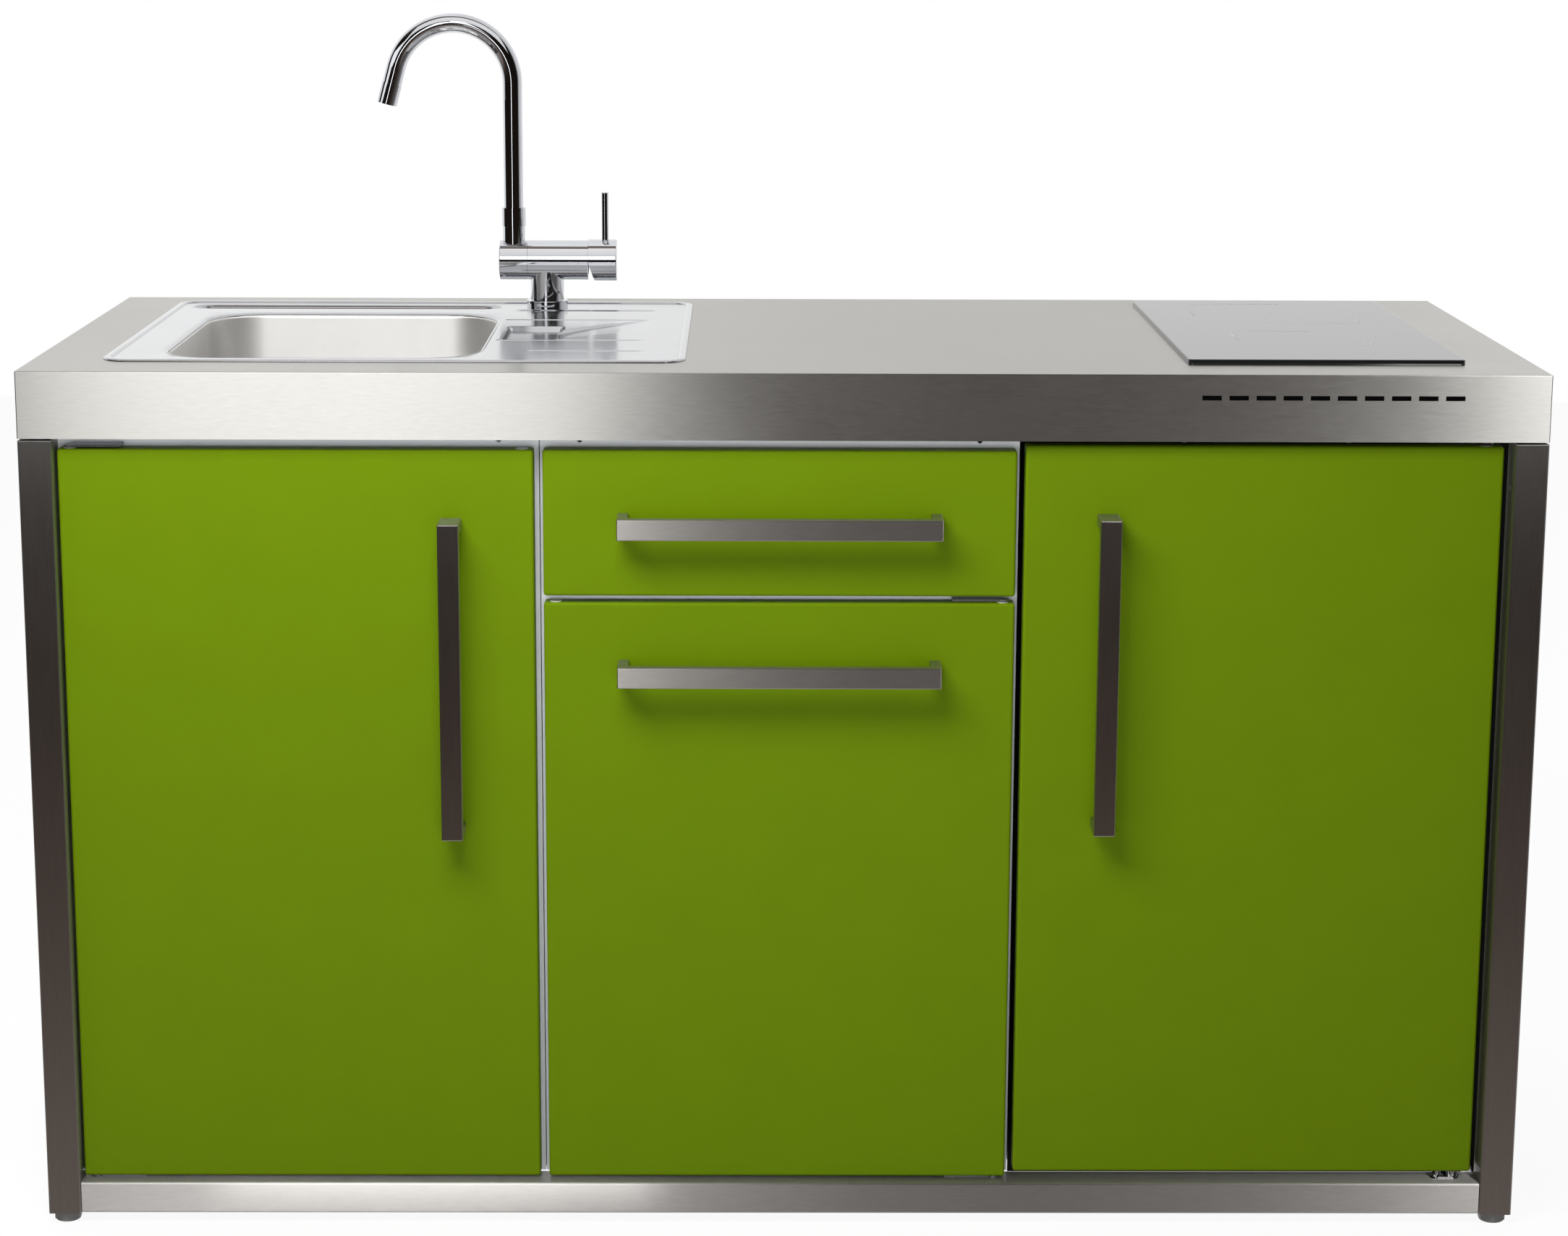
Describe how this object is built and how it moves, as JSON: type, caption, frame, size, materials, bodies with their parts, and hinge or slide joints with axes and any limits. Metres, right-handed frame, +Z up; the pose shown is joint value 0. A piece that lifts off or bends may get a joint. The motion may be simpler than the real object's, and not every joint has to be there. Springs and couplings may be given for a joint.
{
  "type": "outdoor kitchen unit",
  "caption": "Free-standing outdoor kitchen on a square steel frame, with sink, folding swivel tap, induction hob, hinged doors, drawer and fridge under a steel worktop.",
  "frame": {"origin": "on the floor, under the middle of the unit's bounding box", "axes": "+X to the right as seen from the front, -Y to the front, +Z up"},
  "size_m": [1.575, 0.656, 1.2689],
  "materials": {
    "brushed_stainless": "brushed",
    "frame_steel": "brushed",
    "sink_steel": "satin",
    "green_powder_coat": "satin",
    "carcass_paint": "satin",
    "zinc_plate": "satin",
    "chrome": "polished",
    "black_glass": "gloss",
    "galvanised_sheet": "satin",
    "copper_coil": "satin",
    "white_plastic": "matte",
    "grey_plastic": "matte",
    "black_plastic": "matte",
    "clear_plastic": "gloss",
    "shelf_glass": "clear",
    "seal_rubber": "matte",
    "black_paint": "satin"
  },
  "bodies": {
    "unit": {"frame_leg_front_left": "frame_steel", "frame_leg_front_right": "frame_steel", "frame_leg_rear_left": "frame_steel", "frame_leg_rear_right": "frame_steel", "frame_rail_front": "frame_steel", "frame_rail_rear": "frame_steel", "frame_side_rails": "frame_steel", "leg_plugs": "black_plastic", "worktop": "brushed_stainless", "worktop_stiffeners": "galvanised_sheet", "sink": "sink_steel", "sink_waste": "sink_steel", "waste_trap": "white_plastic", "hob_glass": "black_glass", "hob_case": "galvanised_sheet", "hob_coils": "copper_coil", "tap_base": "chrome", "tap_fixing": "zinc_plate", "tap_body": "chrome", "left_carcass": "carcass_paint", "centre_carcass": "carcass_paint", "cabinet_shelves": "carcass_paint", "fixings": "zinc_plate", "cabinet_door_hinges": "zinc_plate", "runner_cabinet_members": "zinc_plate", "fridge_casing": "black_paint", "fridge_liner": "white_plastic", "fridge_evaporator": "zinc_plate", "fridge_shelves": "shelf_glass", "fridge_crisper": "clear_plastic", "fridge_compressor": "black_paint", "fridge_door_hinges": "chrome"},
    "left_door": {"left_door_skin": "green_powder_coat", "left_door_inner": "carcass_paint", "left_door_handle": "brushed_stainless", "left_door_bushes": "white_plastic"},
    "centre_door": {"centre_door_skin": "green_powder_coat", "centre_door_inner": "carcass_paint", "centre_door_handle": "brushed_stainless", "centre_door_bushes": "white_plastic"},
    "drawer": {"drawer_front": "green_powder_coat", "drawer_box": "galvanised_sheet", "drawer_handle": "brushed_stainless", "runner_drawer_members": "zinc_plate"},
    "runner_middle": {"runner_middle_members": "zinc_plate"},
    "fridge_door": {"fridge_door_skin": "green_powder_coat", "fridge_door_inner": "white_plastic", "fridge_door_handle": "brushed_stainless", "fridge_door_gasket": "seal_rubber", "fridge_door_bins": "clear_plastic", "fridge_door_bushes": "grey_plastic"},
    "spout_base": {"spout_socket": "chrome"},
    "swivel_spout": {"spout": "chrome", "aerator": "chrome"},
    "cartridge": {"mixer_cartridge": "white_plastic"},
    "mixer_grip": {"mixer_cap": "chrome", "mixer_lever": "chrome"},
    "strainer": {"sink_strainer": "sink_steel"},
    "thermostat": {"thermostat_knob": "white_plastic"},
    "feet": {"levelling_feet": "grey_plastic"}
  },
  "joints": [
    {"name": "left_door_swing", "type": "hinge", "parent": "unit", "child": "left_door", "pos_m": [-0.73775, -0.28, 0.446], "axis": [0, 0, -1], "range_deg": [0, 95]},
    {"name": "centre_door_swing", "type": "hinge", "parent": "unit", "child": "centre_door", "pos_m": [0.22875, -0.28, 0.446], "axis": [0, 0, 1], "range_deg": [0, 110]},
    {"name": "fridge_door_swing", "type": "hinge", "parent": "unit", "child": "fridge_door", "pos_m": [0.726, -0.28, 0.446], "axis": [0, 0, 1], "range_deg": [0, 110]},
    {"name": "drawer_slide", "type": "slide", "parent": "unit", "child": "drawer", "axis": [0, -1, 0], "range_m": [0, 0.4]},
    {"name": "runner_slide", "type": "slide", "parent": "unit", "child": "runner_middle", "axis": [0, -1, 0], "range_m": [0, 0.2]},
    {"name": "spout_fold", "type": "hinge", "parent": "unit", "child": "spout_base", "pos_m": [-0.3148, 0.243, 0.981], "axis": [1, 0, 0], "range_deg": [0, 90]},
    {"name": "spout_swivel", "type": "hinge", "parent": "spout_base", "child": "swivel_spout", "pos_m": [-0.3148, 0.243, 1.021], "axis": [0, 0, -1], "range_deg": [-120, 30]},
    {"name": "mixer_temperature", "type": "hinge", "parent": "unit", "child": "cartridge", "pos_m": [-0.227, 0.243, 0.981], "axis": [1, 0, 0], "range_deg": [-45, 45]},
    {"name": "mixer_flow", "type": "hinge", "parent": "cartridge", "child": "mixer_grip", "pos_m": [-0.2267, 0.243, 0.981], "axis": [0, 1, 0], "range_deg": [0, 15]},
    {"name": "strainer_lift", "type": "slide", "parent": "unit", "child": "strainer", "axis": [0, 0, 1], "range_m": [0, 0.12]},
    {"name": "thermostat_turn", "type": "hinge", "parent": "unit", "child": "thermostat", "pos_m": [0.716, 0.023, 0.65476], "axis": [-1, 0, 0], "range_deg": [0, 270]},
    {"name": "feet_adjust", "type": "slide", "parent": "unit", "child": "feet", "axis": [0, 0, -1], "range_m": [0, 0.012]}
  ],
  "couplings": [
    {"joint": "runner_slide", "follows": "drawer_slide", "ratio": 0.5}
  ]
}
